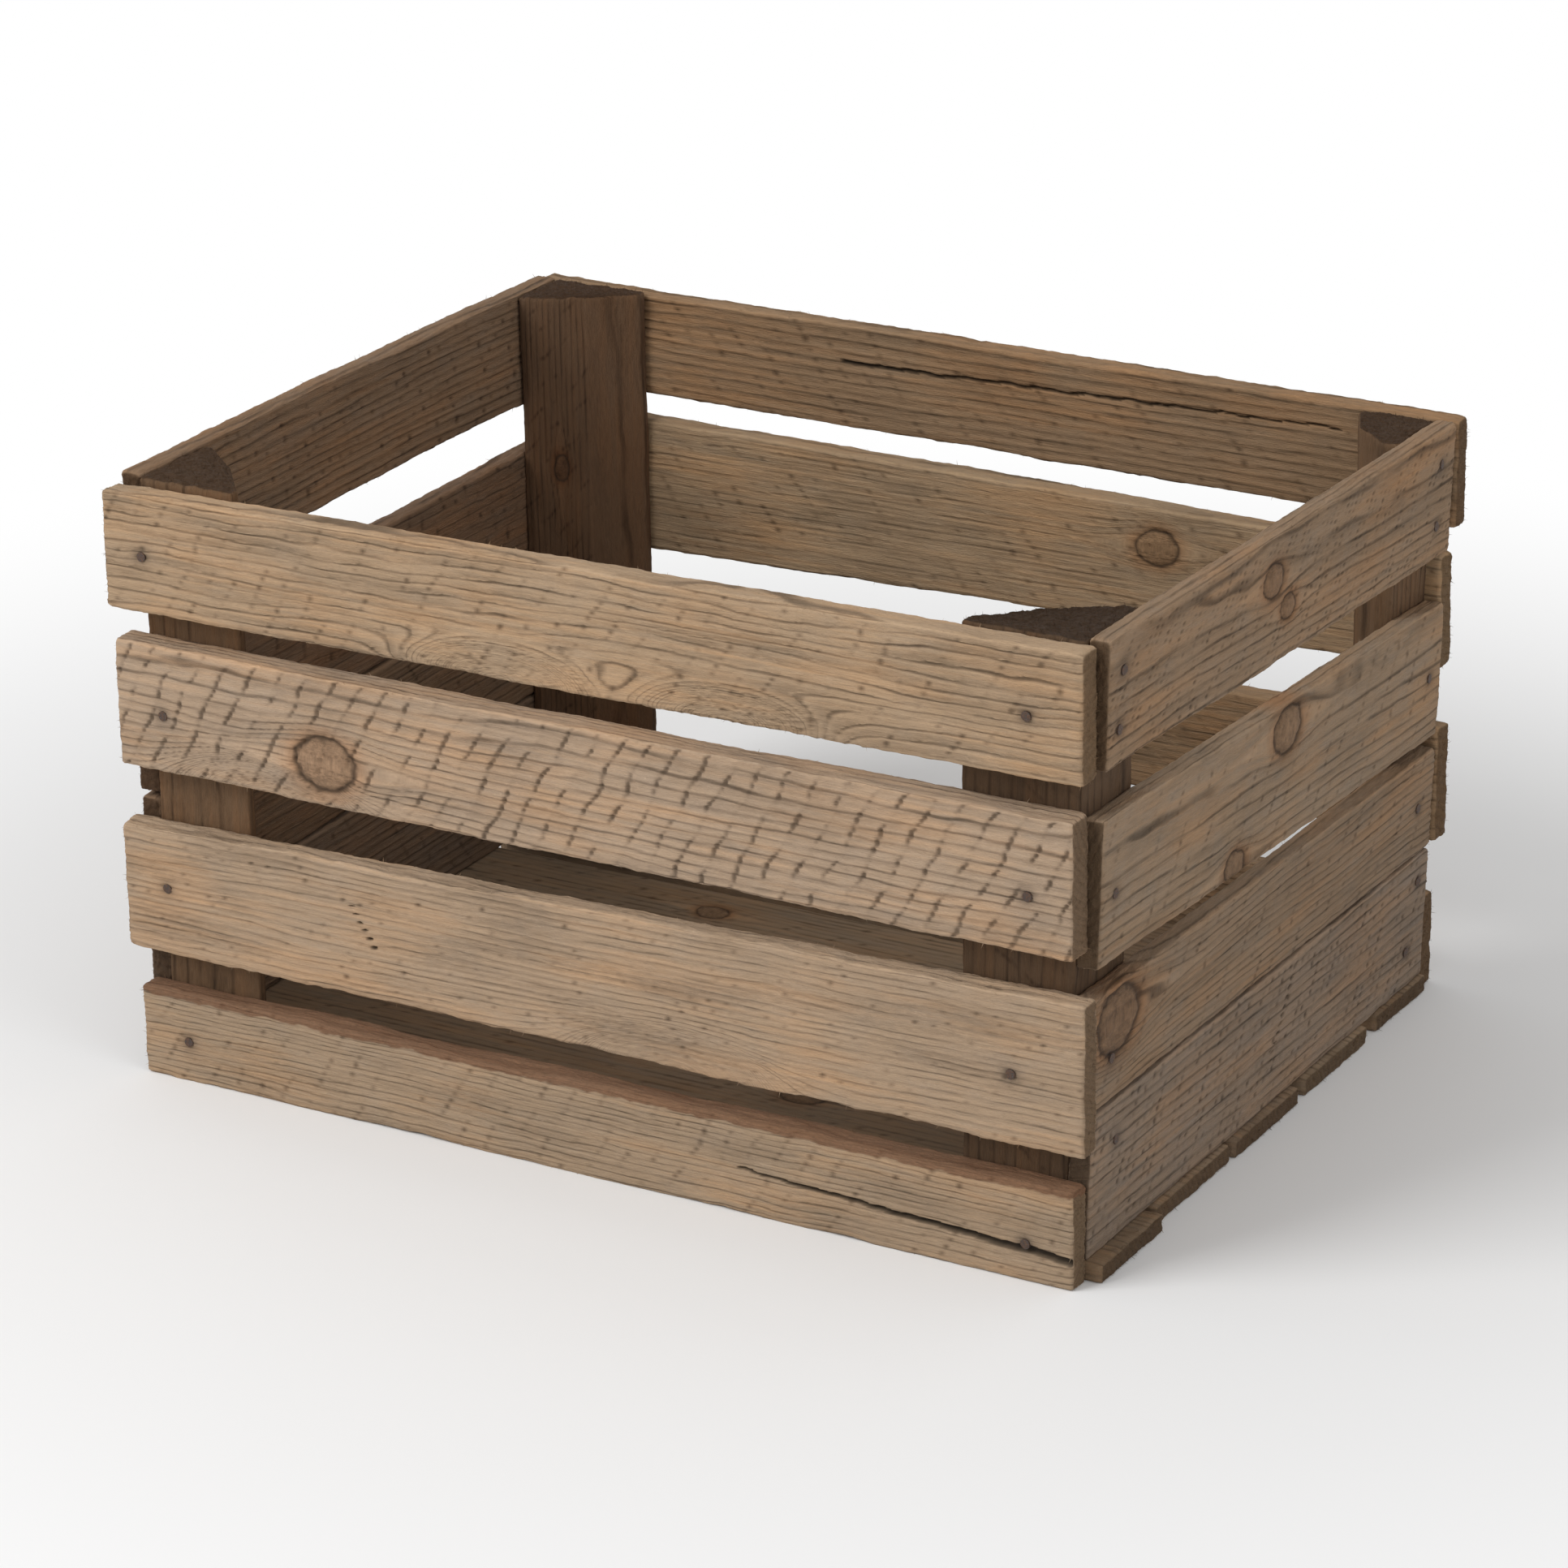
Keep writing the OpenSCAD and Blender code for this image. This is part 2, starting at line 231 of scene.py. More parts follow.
def buildBoardTree():
    # A sawn board: local X runs along the grain, -Y is its outer face and Z is its height
    tree = bpy.data.node_groups.new("sawnBoard", "GeometryNodeTree")
    addSocket(tree, "Geometry", "NodeSocketGeometry", output=True)
    for name, value in boardInputs.items():
        addSocket(tree, name, floatKind, value)
    for name, value in boardVectors.items():
        addSocket(tree, name, vectorKind, value)
    for name, value in boardCounts.items():
        addSocket(tree, name, "NodeSocketInt", value)
    addSocket(tree, "Material", "NodeSocketMaterial")
    s = Sketch(tree)
    given = s.node("NodeGroupInput")

    def ask(name):
        return Wire(s, given.outputs[name])

    def askVector(name):
        return s.split(ask(name))

    block = s.node("GeometryNodeMeshCube")
    s.plug(block.inputs["Vertices X"], ask("Steps Along"))
    s.plug(block.inputs["Vertices Y"], ask("Steps Deep"))
    s.plug(block.inputs["Vertices Z"], ask("Steps Up"))
    a, b, c = s.split(s.wire(s.node("GeometryNodeInputPosition")))

    length = ask("Length")
    thickness = ask("Thickness")
    seed = ask("Seed")
    reach = a + 0.5
    bow = reach * (1.0 - reach) * 4.0
    top = s.blend(ask("Top Start"), ask("Top End"), reach) + ask("Top Bow") * bow
    foot = s.blend(ask("Foot Start"), ask("Foot End"), reach) + ask("Foot Bow") * bow
    height = top - foot
    along = reach * length
    deep = b * thickness
    up = c * height

    # sawn edges wander a little, each of the four in its own way
    sideY = s.calc("SIGN", b)
    sideZ = s.calc("SIGN", c)
    edgeSlow = s.noise(s.vector(along * 0.018, sideY * 0.3 + seed * 5.3, sideZ * 7.0), 2.0, 0.6)
    wander = edgeSlow * ask("Edge Wander") * c * 2.0
    edgeFast = s.noise(s.vector(along * 0.11, sideY * 3.0 + seed * 9.1, sideZ * 5.0), 2.0, 0.6)
    rimWear = s.between(0.0, 1.0, c * 2.0) * ask("Rim Wear")
    corner = ask("Corner") * (1.0 + edgeFast * 0.45) + rimWear * (0.35 + s.share(edgeSlow) * 0.9)
    corner = s.most(s.least(corner, thickness * 0.4), 0.35)

    # rounded corners: every point lies on a ball rolled round a smaller block
    x0 = along - length * 0.5
    coreX = s.most(s.least(x0, length * 0.5 - corner), corner - length * 0.5)
    coreY = s.most(s.least(deep, thickness * 0.5 - corner), corner - thickness * 0.5)
    coreZ = s.most(s.least(up, height * 0.5 - corner), corner - height * 0.5)
    outward = s.vectorCalc("NORMALIZE", s.vector(x0 - coreX, deep - coreY, up - coreZ))
    nx, ny, nz = s.split(outward)
    endFace = s.between(0.55, 0.95, s.size(nx))
    wideFace = s.between(0.5, 0.95, s.size(ny))
    edge = s.share(1.0 - s.most(s.most(s.size(nx), s.size(ny)), s.size(nz))) * 3.3

    # the grain bends round each knot
    flow = up
    knotNear = None
    knotBump = None
    lifts = askVector("Knot Lift")
    for index, lift in zip((1, 2, 3), lifts):
        kx, kz, kr = askVector(f"Knot {index}")
        radius = s.most(kr, 0.01)
        dx = along - kx
        dz = up + height * 0.5 - kz
        flowDz = flow + height * 0.5 - kz
        pull = s.bell(dx / (radius * 2.3)) * radius * radius * 1.3 + 0.0001
        flow = flow - flowDz * s.calc("EXPONENT", -(flowDz * flowDz) / pull)
        ragged = s.noise(s.vector(dx * 0.16, dz * 0.16, seed + index), 2.0) * 0.13
        away = s.calc("SQRT", dx * dx * 0.62 + dz * dz + deep * deep * 0.02) / radius + ragged
        rim = s.bell((away - 1.0) / 0.13)
        dome = s.between(1.0, 0.35, away)
        bump = (dome * lift - rim * 0.9) * s.between(0.05, 0.5, kr)
        away = away + s.between(0.5, 0.05, kr) * 50.0
        knotNear = away if knotNear is None else s.least(knotNear, away)
        knotBump = bump if knotBump is None else knotBump + bump

    # year rings round a pith line, seen where the faces cut them
    pithY = ask("Pith Depth") - deep
    pithZ = flow - ask("Pith Height") - ask("Pith Slope") * (reach - 0.5)
    radial = s.calc("SQRT", pithY * pithY + pithZ * pithZ)
    slowPlace = s.vector(along * 0.006 + seed * 3.7, deep * 0.02, flow * 0.035 + seed)
    warp = s.noise(slowPlace, 2.0, 0.5) * ask("Ring Warp")
    wave = s.noise(s.vector(along * 0.045 + seed, deep * 0.03, flow * 0.1), 1.0) * ask("Ring Warp") * 0.13
    ring = (radial + warp + wave) / ask("Ring Width")
    for index in (1, 2):
        wx, wz, strength = askVector(f"Whorl {index}")
        bellX = s.bell((along - wx) / 34.0)
        bellZ = s.bell((up + height * 0.5 - wz) / 11.0)
        ring = ring + strength * bellX * bellZ
    within = s.calc("FRACT", ring)
    step = s.calc("FLOOR", ring)
    keep = s.noise(s.vector(along * 0.022 + step * 3.1, deep * 0.05 + seed, flow * 0.02), 2.0)
    broken = s.between(ask("Terrace Break") * 2.0 - 1.3, ask("Terrace Break") * 2.0 - 0.1, keep + 0.35)
    terrace = (within * within - 0.4) * ask("Terrace") * (0.35 + broken)
    torn = s.between(0.72, 0.86, within) * s.between(1.0, 0.93, within) * broken

    # slanting marks of the saw, with bits torn out along them
    tilt = ask("Saw Tilt")
    sawJitter = s.noise(s.vector(along * 0.03 + seed, up * 0.05, deep * 0.2), 1.0)
    saw = (along - up * tilt) / ask("Saw Spacing") + sawJitter * 0.22
    sawDistance = s.size(s.calc("FRACT", saw) - 0.5) * 2.0
    sawBreak = s.noise(s.vector(along * 0.05, up * 0.11 + seed, s.calc("FLOOR", saw) * 7.7), 2.0, 0.6)
    sawBroken = s.between(ask("Saw Break") * 1.6 - 1.0, ask("Saw Break") * 1.6 - 0.2, sawBreak)
    sawCut = (1.0 - s.between(0.0, ask("Saw Line"), sawDistance)) * sawBroken * wideFace
    sawSwell = (s.calc("FRACT", saw + 0.5) - 0.5) * 0.5

    # fine ridges along the grain, fuzz and low lumps
    ridgeMask = s.share(s.noise(s.vector(along * 0.02 + seed * 2.0, deep * 0.1, flow * 0.06), 1.0) + 0.4)
    ridgeWave = s.noise(s.vector(along * 0.015, deep * 0.1, seed), 1.0) * 1.5
    ridge = s.calc("SINE", flow / ask("Ridge Spacing") * math.tau + ridgeWave) * ask("Ridge") * ridgeMask
    fuzz = s.noise(s.vector(along * 0.14 + seed, deep * 0.85, up * 0.85), 2.0, 0.65) * ask("Fuzz")
    lumps = s.noise(s.vector(along * 0.013, deep * 0.06 + seed, up * 0.06), 1.0) * ask("Lumps")

    # a crack along a line
    fromX, _, fromZ = askVector("Crack From")
    toX, _, toZ = askVector("Crack To")
    crackX = toX - fromX
    crackZ = toZ - fromZ
    crackLength2 = s.most(crackX * crackX + crackZ * crackZ, 1.0)
    hereX = along - fromX
    hereZ = up + height * 0.5 - fromZ
    crackReach = s.share((hereX * crackX + hereZ * crackZ) / crackLength2)
    offX = hereX - crackX * crackReach
    offZ = hereZ - crackZ * crackReach
    offZ = offZ + s.noise(s.vector(along * 0.06, seed, 3.0), 2.0, 0.6) * 1.6
    crackWide = s.most(ask("Crack Width"), 0.05) * (0.35 + crackReach)
    crackOff = s.calc("SQRT", offX * offX + offZ * offZ) / crackWide
    crack = (1.0 - s.between(0.3, 1.0, crackOff)) * s.between(0.1, 0.3, ask("Crack Width"))

    # dents round the nails
    nailFar = None
    for index in (1, 2, 3, 4):
        nailX, _, nailZ = askVector(f"Nail {index}")
        dx = along - nailX
        dz = up + height * 0.5 - nailZ
        far = s.calc("SQRT", dx * dx + dz * dz)
        nailFar = far if nailFar is None else s.least(nailFar, far)
    nailDent = s.bell(nailFar / 3.4)

    barkLine = height * 0.5 - 3.6 + edgeFast * 1.6
    bark = s.between(-0.4, 0.7, up - barkLine) * ask("Bark")

    faceRelief = terrace - torn * ask("Terrace") * 0.8 + ridge - sawCut * ask("Saw Depth")
    faceRelief = faceRelief + sawSwell * ask("Saw Depth") * 0.35 + knotBump - crack * 2.6 - nailDent * 0.7
    sideRelief = terrace * 0.5 + fuzz * 1.2
    relief = s.blend(sideRelief, faceRelief, wideFace) + fuzz + lumps
    relief = relief + bark * (0.5 + edgeFast * 0.4) * wideFace
    endGrain = s.noise(s.vector(seed * 3.3, deep * 0.55, up * 0.3), 3.0, 0.7)
    endRelief = endGrain * ask("End Tear") * 0.35 - 0.2
    relief = s.blend(relief, endRelief, endFace)
    # how deep a point sits in a low spot, tear, saw cut or crack; the shader paints shade there from it
    hollowShade = s.share(-relief * 0.9) + torn * 0.6 + sawCut * 0.8 + crack

    # ends are torn: the whole outline is pulled in unevenly
    endSide = s.calc("SIGN", a)
    pullIn = s.noise(s.vector(endSide * 4.0 + seed, deep * 0.12, up * 0.09), 3.0, 0.65) * 0.5 + 0.5
    endNear = s.calc("EXPONENT", (s.size(x0) - length * 0.5) / 7.0)
    shiftX = -endSide * s.share(pullIn) * ask("End Tear") * endNear

    ball = corner + relief
    px = coreX + nx * ball + shiftX + length * 0.5
    py = coreY + ny * ball
    pz = coreZ + nz * ball + wander

    # a post is the same board drawn in to a blunt triangle, its two outer faces kept flat
    shareY = s.share(py / thickness + 0.5)
    shareZ = s.share(pz / height + 0.5)
    tipY = ask("Tip") / thickness
    tipZ = ask("Tip") / height
    narrowY = s.most(shareZ - tipZ, 0.0) / (1.0 - tipZ) * (0.5 - tipY * 0.5)
    narrowZ = s.most(shareY - tipY, 0.0) / (1.0 - tipY) * (0.5 - tipZ * 0.5)
    triangle = ask("Triangle")
    py = py - triangle * (py + thickness * 0.5) * narrowY
    pz = pz - triangle * (pz + height * 0.5) * narrowZ

    midHeight = (top + foot) * 0.5
    worldZ = pz + midHeight
    py = py - ask("Bulge") * bow - ask("Lean") * worldZ - ask("Wall Slope") * px * (1.0 - shareY)
    finalPlace = s.scaled(s.vector(px, py, worldZ), mm)

    geometry = s.wire(block)
    marks = {
        "grain": s.vector(along + seed * 611.0, deep + seed * 37.0, flow + seed * 91.0),
        "spot": s.vector(along + seed * 611.0, deep, up + height * 0.5),
        "rings": s.vector(ring, saw, knotNear),
        "masks": s.vector(edge, endFace, s.share(c + 0.5)),
        "depths": s.vector(hollowShade, nailFar, bark),
        "sawMask": s.vector(sawCut, crack, torn),
        "tint": ask("Tint"),
    }
    for name, value in marks.items():
        store = s.node("GeometryNodeStoreNamedAttribute", data_type="FLOAT_VECTOR", domain="POINT")
        store.inputs["Name"].default_value = name
        s.plug(store.inputs["Geometry"], geometry)
        s.plug(store.inputs["Value"], value)
        geometry = s.wire(store)
    place = s.node("GeometryNodeSetPosition")
    s.plug(place.inputs["Geometry"], geometry)
    s.plug(place.inputs["Position"], finalPlace)

    # loose fibres on the torn ends and along the rims
    masks = s.node("GeometryNodeInputNamedAttribute", data_type="FLOAT_VECTOR")
    masks.inputs["Name"].default_value = "masks"
    edgeHere, endHere, _ = s.split(s.wire(masks))
    hairCount = endHere * fibreLooks["onEnds"] + s.share(edgeHere) * fibreLooks["onEdges"]
    scatter = s.node("GeometryNodeDistributePointsOnFaces", distribute_method="RANDOM")
    s.plug(scatter.inputs["Mesh"], s.wire(place))
    s.plug(scatter.inputs["Density"], hairCount * ask("Hairs"))
    s.plug(scatter.inputs["Seed"], s.calc("FLOOR", seed * 10.0))
    hair = s.node("GeometryNodeMeshCone", fill_type="NONE")
    hair.inputs["Vertices"].default_value = 3
    hair.inputs["Side Segments"].default_value = 2
    hair.inputs["Radius Top"].default_value = fibreLooks["tipRadius"]
    hair.inputs["Radius Bottom"].default_value = fibreLooks["rootRadius"]
    hair.inputs["Depth"].default_value = fibreLooks["length"]
    lean = s.node("FunctionNodeRandomValue", data_type="FLOAT_VECTOR")
    lean.inputs["Min"].default_value = (-fibreLooks["lean"],) * 3
    lean.inputs["Max"].default_value = (fibreLooks["lean"],) * 3
    lean.inputs["Seed"].default_value = 4
    longer = s.node("FunctionNodeRandomValue", data_type="FLOAT")
    longer.inputs[2].default_value = fibreLooks["shortest"]
    longer.inputs[3].default_value = 1.0
    longer.inputs["Seed"].default_value = 9
    aim = s.node("FunctionNodeAlignRotationToVector", axis="Z")
    s.plug(aim.inputs["Vector"], s.vectorCalc("ADD", s.wire(scatter, "Normal"), s.wire(lean)))
    hairs = s.node("GeometryNodeInstanceOnPoints")
    s.plug(hairs.inputs["Points"], s.wire(scatter))
    s.plug(hairs.inputs["Instance"], s.wire(hair))
    s.plug(hairs.inputs["Rotation"], s.wire(aim))
    s.plug(hairs.inputs["Scale"], s.wire(longer, 1))
    join = s.node("GeometryNodeJoinGeometry")
    s.plug(join.inputs[0], s.wire(hairs))
    s.plug(join.inputs[0], s.wire(place))

    turn = s.node("GeometryNodeTransform")
    s.plug(turn.inputs["Geometry"], s.wire(join))
    s.plug(turn.inputs["Rotation"], ask("Turn"))
    s.plug(turn.inputs["Translation"], ask("Place"))
    real = s.node("GeometryNodeRealizeInstances")
    s.plug(real.inputs["Geometry"], s.wire(turn))
    smooth = s.node("GeometryNodeSetShadeSmooth")
    s.plug(smooth.inputs["Geometry"], s.wire(real))
    paint = s.node("GeometryNodeSetMaterial")
    s.plug(paint.inputs["Geometry"], s.wire(smooth))
    s.plug(paint.inputs["Material"], ask("Material"))
    out = s.node("NodeGroupOutput")
    s.plug(out.inputs[0], s.wire(paint))
    return tree


boardTree = buildBoardTree()
print("board tree built,", len(boardTree.nodes), "nodes")


def mixColour(s, first, second, reach):
    made = s.node("ShaderNodeMix", data_type="RGBA", clamp_factor=True)
    s.plug(made.inputs[0], reach)
    for index, value in ((6, first), (7, second)):
        s.plug(made.inputs[index], value if isinstance(value, Wire) else (*value, 1.0))
    return Wire(s, made.outputs[2])


markNames = ("grain", "spot", "rings", "masks", "depths", "sawMask", "tint")


def buildPineGroup():
    # colour, roughness and fine height of weathered sawn pine, from the marks each board carries
    # its colour also holds painted shade in hollows, cracks, saw cuts and under ring steps, and a painted
    # highlight on upper rims
    tree = bpy.data.node_groups.new("weatheredPine", "ShaderNodeTree")
    for name in markNames:
        addSocket(tree, name, vectorKind)
    for name, value in {"Streak": 0.13, "Fibre": 0.16, "Late Line": 0.4, "Greying": 0.3,
                        "Rim Light": 0.35, "Stain": 0.5}.items():
        addSocket(tree, name, floatKind, value)
    addSocket(tree, "Color", "NodeSocketColor", output=True)
    addSocket(tree, "Roughness", floatKind, output=True)
    addSocket(tree, "Height", floatKind, output=True)
    s = Sketch(tree)
    given = s.node("NodeGroupInput")

    def ask(name):
        return Wire(s, given.outputs[name])

    gx, gy, gz = s.split(ask("grain"))
    sx, sy, sz = s.split(ask("spot"))
    ring, saw, knotAway = s.split(ask("rings"))
    edge, endFace, upward = s.split(ask("masks"))
    hollowShade, nailFar, bark = s.split(ask("depths"))
    sawCut, crack, torn = s.split(ask("sawMask"))

    streak = s.noise(s.vector(gx * 0.007, gy * 0.2, gz * 0.3), 3.0, 0.6)
    fibre = s.noise(s.vector(gx * 0.09, gy * 1.7, gz * 1.9), 3.0, 0.7)
    nap = s.noise(s.vector(gx * 0.5, gy * 2.2, gz * 2.2), 2.0, 0.7)
    blotch = s.noise(s.vector(gx * 0.012, gy * 0.03, gz * 0.035), 2.0)
    dust = s.noise(s.vector(sx * 0.05, sy * 0.1 + 3.0, sz * 0.12), 3.0, 0.65)
    within = s.calc("FRACT", ring)
    # late-wood lines: partly the darker late wood, partly painted shade under each ring step, where the
    # step's edge would cast it
    linePlace = s.vector(gx * 0.03, s.calc("FLOOR", ring) * 3.0, gz * 0.04)
    lineBreak = s.between(-0.5, 0.5, s.noise(linePlace, 2.0))
    lateLineShade = s.between(0.70, 0.90, within) * s.between(1.0, 0.93, within) * lineBreak
    light = 1.03 + streak * ask("Streak") + fibre * ask("Fibre") + nap * 0.07 + blotch * 0.10
    light = light + within * (1.0 - within) * 0.3 - lateLineShade * ask("Late Line")
    # painted shade: darker in low spots, tears, saw cuts and cracks, where shade falls
    light = light * (1.0 - s.share(hollowShade) * 0.5) * (1.0 - crack * 0.8)
    # rims lighter towards the top of each board: partly rubbed wear, partly a painted highlight where light
    # from above catches them
    light = light + s.share(edge) * s.share(upward * 1.6 - 0.5 + dust * 0.4) * ask("Rim Light")
    specks = s.between(0.30, 0.16, s.cells(s.vector(gx * 0.35, gy * 0.4, gz * 0.8)))
    light = light + specks * s.share(dust * 0.8) * 0.25
    colour = s.scaled(ask("tint"), s.most(light, 0.08))
    brown = s.vectorCalc("MULTIPLY", colour, (1.10, 0.93, 0.76))
    colour = mixColour(s, colour, brown, s.share(blotch * 0.7 + streak * 0.5 + 0.1))
    grey = s.vectorCalc("MULTIPLY", colour, (0.86, 0.98, 1.16))
    colour = mixColour(s, colour, grey, s.share(dust + 0.2) * ask("Greying"))

    # knots: lumpy and red brown inside, a dark line round them and a warm halo
    inKnot = s.between(1.04, 0.9, knotAway)
    knotLight = 0.62 + nap * 0.22 + s.noise(s.vector(sx * 0.3, sy * 0.3, sz * 0.3), 3.0, 0.7) * 0.28
    knotWood = s.scaled(s.vectorCalc("MULTIPLY", ask("tint"), (1.0, 0.88, 0.78)), knotLight)
    colour = mixColour(s, colour, s.vectorCalc("MULTIPLY", colour, (0.88, 0.70, 0.56)),
                       s.between(1.9, 1.0, knotAway) * 0.7)
    colour = mixColour(s, colour, knotWood, inKnot * 0.85)
    colour = mixColour(s, colour, (0.035, 0.022, 0.014), s.bell((knotAway - 1.0) / 0.09) * 0.7)

    # end grain is darker and shows its rings, nails stain the wood, bark is red brown
    endLight = 0.36 + fibre * 0.10 + nap * 0.08 + (within - 0.5) * 0.12
    endWood = s.scaled(s.vectorCalc("MULTIPLY", ask("tint"), (1.0, 0.88, 0.74)), endLight)
    colour = mixColour(s, colour, endWood, endFace * 0.9)
    stain = s.bell(nailFar / 4.6) * 0.75 + s.bell(nailFar / 12.0) * s.share(streak + 0.4) * 0.3
    colour = mixColour(s, colour, (0.045, 0.036, 0.032), stain * ask("Stain"))
    barkWood = s.scaled(s.vector(0.20, 0.098, 0.052), 0.85 + nap * 0.3 + fibre * 0.2)
    colour = mixColour(s, colour, barkWood, bark * 0.85)
    # saw cuts and tears darkened: painted shade in these grooves
    shadedGash = s.share(sawCut * 0.55 + torn * 0.35)
    colour = mixColour(s, colour, s.vectorCalc("MULTIPLY", colour, (0.5, 0.43, 0.38)), shadedGash)

    height = fibre * 0.5 + nap * 0.35 + streak * 0.2 - lateLineShade * 0.5 - shadedGash * 0.6
    out = s.node("NodeGroupOutput")
    s.plug(out.inputs["Color"], colour)
    s.plug(out.inputs["Roughness"], s.share(0.86 + nap * 0.05 - inKnot * 0.12))
    s.plug(out.inputs["Height"], height)
    return tree


pineGroup = buildPineGroup()


def makeWood(name, **values):
    material = bpy.data.materials.new(name)
    material.use_nodes = True
    s = Sketch(material.node_tree)
    shader = material.node_tree.nodes["Principled BSDF"]
    pine = s.node("ShaderNodeGroup", node_tree=pineGroup)
    for mark in markNames:
        source = s.node("ShaderNodeAttribute", attribute_name=mark)
        s.plug(pine.inputs[mark], s.wire(source, "Vector"))
    for socket, value in values.items():
        pine.inputs[socket.replace("_", " ")].default_value = value
    bump = s.node("ShaderNodeBump")
    bump.inputs["Strength"].default_value = 0.75
    bump.inputs["Distance"].default_value = 0.0005
    s.plug(bump.inputs["Height"], s.wire(pine, "Height"))
    s.plug(shader.inputs["Base Color"], s.wire(pine, "Color"))
    s.plug(shader.inputs["Roughness"], s.wire(pine, "Roughness"))
    s.plug(shader.inputs["Normal"], s.wire(bump))
    shader.inputs["Specular IOR Level"].default_value = 0.2
    return material


# the late-line and rim settings here also set the strength of the painted shade under ring steps and the
# painted highlight on upper rims
woods = {
    "front_wood": makeWood("frontPine"),
    "back_wood": makeWood("backPine", Late_Line=0.3, Streak=0.16),
    "side_wood": makeWood("sidePine", Greying=0.6, Rim_Light=0.45),
    "post_wood": makeWood("postPine", Late_Line=0.25, Rim_Light=0.2),
    "floor_wood": makeWood("floorPine", Greying=0.5, Late_Line=0.2),
}


def linear(code):
    # a colour picked as a web code, as the shader wants it
    parts = [int(code[i:i + 2], 16) / 255 for i in (1, 3, 5)]
    return tuple(v / 12.92 if v <= 0.04045 else ((v + 0.055) / 1.055) ** 2.4 for v in parts)


def slatEnds(node, axis):
    # foot and top of a CAD slat at its low and at its high end along an axis, in mm
    low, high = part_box(node)
    ends = []
    for limit in (low[axis], high[axis]):
        heights = [v.co.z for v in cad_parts[node].data.vertices if abs(v.co[axis] - limit) < 0.001]
        ends.append((min(heights) / mm, max(heights) / mm))
    return ends


socketOf = {item.name: item.identifier for item in boardTree.interface.items_tree if item.in_out == "INPUT"}


def makePiece(name, tree, sockets, values, replaced):
    # runs a node tree once and keeps its result as a plain mesh
    holder = bpy.data.objects.new(name + "Holder", bpy.data.meshes.new(name + "Holder"))
    bpy.context.scene.collection.objects.link(holder)
    modifier = holder.modifiers.new("shape", "NODES")
    modifier.node_group = tree
    for socket, value in values.items():
        modifier[sockets[socket]] = value
    graph = bpy.context.evaluated_depsgraph_get()
    mesh = bpy.data.meshes.new_from_object(holder.evaluated_get(graph))
    bpy.data.objects.remove(holder)
    piece = bpy.data.objects.new(name, mesh)
    mesh.name = name
    bpy.context.scene.collection.objects.link(piece)
    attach(piece, "root")
    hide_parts(replaced)
    mesh.calc_loop_triangles()
    print(name, len(mesh.loop_triangles), "triangles")
    return piece


def makeBoard(node, slot, looks, place, turn, size, ends):
    values = {"Length": size[0], "Thickness": size[1], "Foot Start": ends[0][0], "Top Start": ends[0][1],
              "Foot End": ends[1][0], "Top End": ends[1][1], "Place": place, "Turn": turn,
              "Material": woods[slot]}
    values.update(looks)
    values["Tint"] = linear(values["Tint"])
    for key, value in values.items():
        if isinstance(value, (tuple, list, Vector)):
            values[key] = tuple(float(v) for v in value)
    makePiece(node + "_wood", boardTree, socketOf, values, node)


def makeLongSlat(node, looks):
    low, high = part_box(node)
    ends = slatEnds(node, 0)
    size = ((high.x - low.x) / mm, (high.y - low.y) / mm)
    middle = (low.y + high.y) / 2
    if low.y < 0:
        makeBoard(node, "front_wood", looks, (low.x, middle, 0.0), (0.0, 0.0, 0.0), size, ends)
    else:
        turn = (0.0, 0.0, math.pi)
        makeBoard(node, "back_wood", looks, (high.x, middle, 0.0), turn, size, ends[::-1])


# The side walls: thickness, the outer face at the ground, and how far it leans out per height
walls = {"thickness": 11.0, "leftX": -0.252, "rightFootX": 0.243, "rightLean": 0.03716}


def makeSideSlat(node, looks):
    low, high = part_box(node)
    ends = slatEnds(node, 1)
    size = ((high.y - low.y) / mm, walls["thickness"])
    half = walls["thickness"] * mm / 2
    if low.x < 0:
        place = (walls["leftX"] + half, high.y, 0.0)
        makeBoard(node, "side_wood", looks, place, (0.0, 0.0, -quarterTurn), size, ends[::-1])
    else:
        looks = dict(looks, Lean=walls["rightLean"])
        place = (walls["rightFootX"] - half, low.y, 0.0)
        makeBoard(node, "side_wood", looks, place, (0.0, 0.0, quarterTurn), size, ends)


